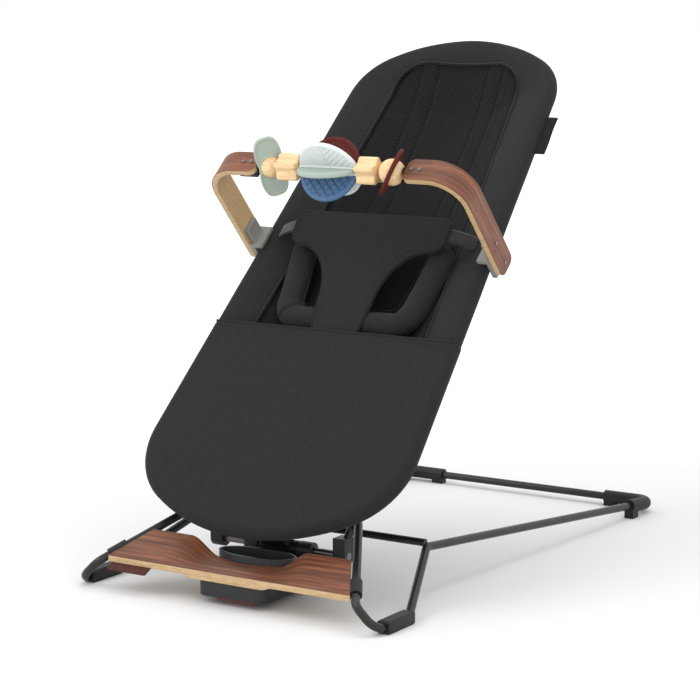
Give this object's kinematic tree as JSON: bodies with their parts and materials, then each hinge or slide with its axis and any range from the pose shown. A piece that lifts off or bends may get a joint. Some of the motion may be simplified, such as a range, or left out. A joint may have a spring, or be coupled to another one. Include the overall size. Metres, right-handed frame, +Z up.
{
  "type": "bouncer seat",
  "caption": "Baby bouncer: tilted fabric sling seat on a springy bent wire base with a wooden footboard and a lift-off toy bar of turning toys.",
  "frame": {"origin": "on the floor, at the middle of the base's bounding box", "axes": "+Z up, +Y from the foot end to the head end, +X across the seat to the viewer's right when seen from the foot end"},
  "size_m": [0.4714, 0.81, 0.7005],
  "materials": {
    "black_steel": "satin black powder coat",
    "black_tube": "satin black coated tube",
    "black_plastic": "matte black",
    "sole_rubber": "matte",
    "grey_plastic": "dark grey, satin",
    "clamp_grey": "mid grey, matte",
    "red_plastic": "red, satin",
    "walnut": "oiled walnut veneer",
    "light_ply": "clear lacquered plywood edge",
    "beech": "clear lacquered",
    "leather": "red-brown, embossed",
    "screw_steel": "steel",
    "woven_fabric": "dark charcoal weave",
    "mesh_fabric": "black spacer mesh",
    "webbing": "black webbing",
    "sage": "soft silicone, satin",
    "white_plastic": "soft silicone, satin",
    "blue_plastic": "soft silicone, satin",
    "maroon_plastic": "satin"
  },
  "bodies": {
    "base": {"base_rod_left": "black_steel", "base_rod_right": "black_steel", "rear_cross_tube": "black_steel", "front_cross_bar": "black_steel", "rear_shoe_left": "black_plastic", "rear_shoe_right": "black_plastic", "front_foot_left": "black_plastic", "front_foot_right": "black_plastic", "foot_soles": "sole_rubber"},
    "carrier": {"spring_arm_left": "black_steel", "spring_arm_right": "black_steel", "footboard_core": "light_ply", "footboard_veneer": "walnut", "board_clip_left": "black_plastic", "board_clip_right": "black_plastic", "arm_socket_left": "grey_plastic", "arm_socket_right": "grey_plastic", "cross_shaft": "black_steel", "hub_housing": "grey_plastic", "hub_base_plate": "grey_plastic", "board_screws": "screw_steel", "hub_screws": "screw_steel", "leather_tag": "leather"},
    "lock": {"lock_slider": "red_plastic"},
    "seat": {"seat_frame": "black_tube", "seat_cross_tube": "black_tube", "hinge_bracket": "black_plastic", "cover_hem": "woven_fabric", "back_sling": "woven_fabric", "mesh_panel": "mesh_fabric", "foot_panel": "woven_fabric", "infant_insert": "woven_fabric", "harness_panel": "woven_fabric", "harness_tab_left": "webbing", "harness_tab_right": "webbing", "side_label": "webbing"},
    "toy_bar": {"toy_rod": "screw_steel", "arm_bolts": "screw_steel", "clamp_screws": "screw_steel", "arm_core_left": "light_ply", "arm_core_right": "light_ply", "arm_veneer_left": "walnut", "arm_veneer_right": "walnut", "side_clamp_left": "clamp_grey", "side_clamp_right": "clamp_grey", "rod_bracket_left": "black_plastic", "rod_bracket_right": "black_plastic"},
    "wing_toy": {"wing_ball": "beech", "wing": "sage"},
    "left_bead": {"lobed_bead_left": "beech"},
    "fin_toy": {"fin_hub": "white_plastic", "fins_white": "white_plastic", "fins_sage": "sage", "fin_maroon": "maroon_plastic", "fin_blue": "blue_plastic"},
    "right_bead": {"lobed_bead_right": "beech"},
    "disc_toy": {"disc_ball": "beech", "disc": "maroon_plastic"}
  },
  "joints": [
    {"name": "bounce", "type": "hinge", "parent": "base", "child": "carrier", "pos_m": [0, -0.39084, 0.03947], "axis": [1, 0, 0], "range_deg": [-3, 2], "stiffness_Nm_per_rad": 320, "springref_deg": 1.32},
    {"name": "lock_slide", "type": "slide", "parent": "carrier", "child": "lock", "axis": [-1, 0, 0], "range_m": [0, 0.008]},
    {"name": "seat_recline", "type": "hinge", "parent": "carrier", "child": "seat", "pos_m": [0, -0.2675, 0.055], "axis": [1, 0, 0], "range_deg": [-40, 0]},
    {"name": "toy_bar_lift", "type": "slide", "parent": "seat", "child": "toy_bar", "axis": [0, -0.6707, 0.7417], "range_m": [0, 0.2]},
    {"name": "wing_spin", "type": "hinge", "parent": "toy_bar", "child": "wing_toy", "pos_m": [0, -0.14555, 0.53542], "axis": [1, 0, 0], "continuous": true},
    {"name": "left_bead_spin", "type": "hinge", "parent": "toy_bar", "child": "left_bead", "pos_m": [0, -0.14555, 0.53542], "axis": [1, 0, 0], "continuous": true},
    {"name": "fin_spin", "type": "hinge", "parent": "toy_bar", "child": "fin_toy", "pos_m": [0, -0.14555, 0.53542], "axis": [1, 0, 0], "continuous": true},
    {"name": "right_bead_spin", "type": "hinge", "parent": "toy_bar", "child": "right_bead", "pos_m": [0, -0.14555, 0.53542], "axis": [1, 0, 0], "continuous": true},
    {"name": "disc_spin", "type": "hinge", "parent": "toy_bar", "child": "disc_toy", "pos_m": [0, -0.14555, 0.53542], "axis": [1, 0, 0], "continuous": true}
  ]
}
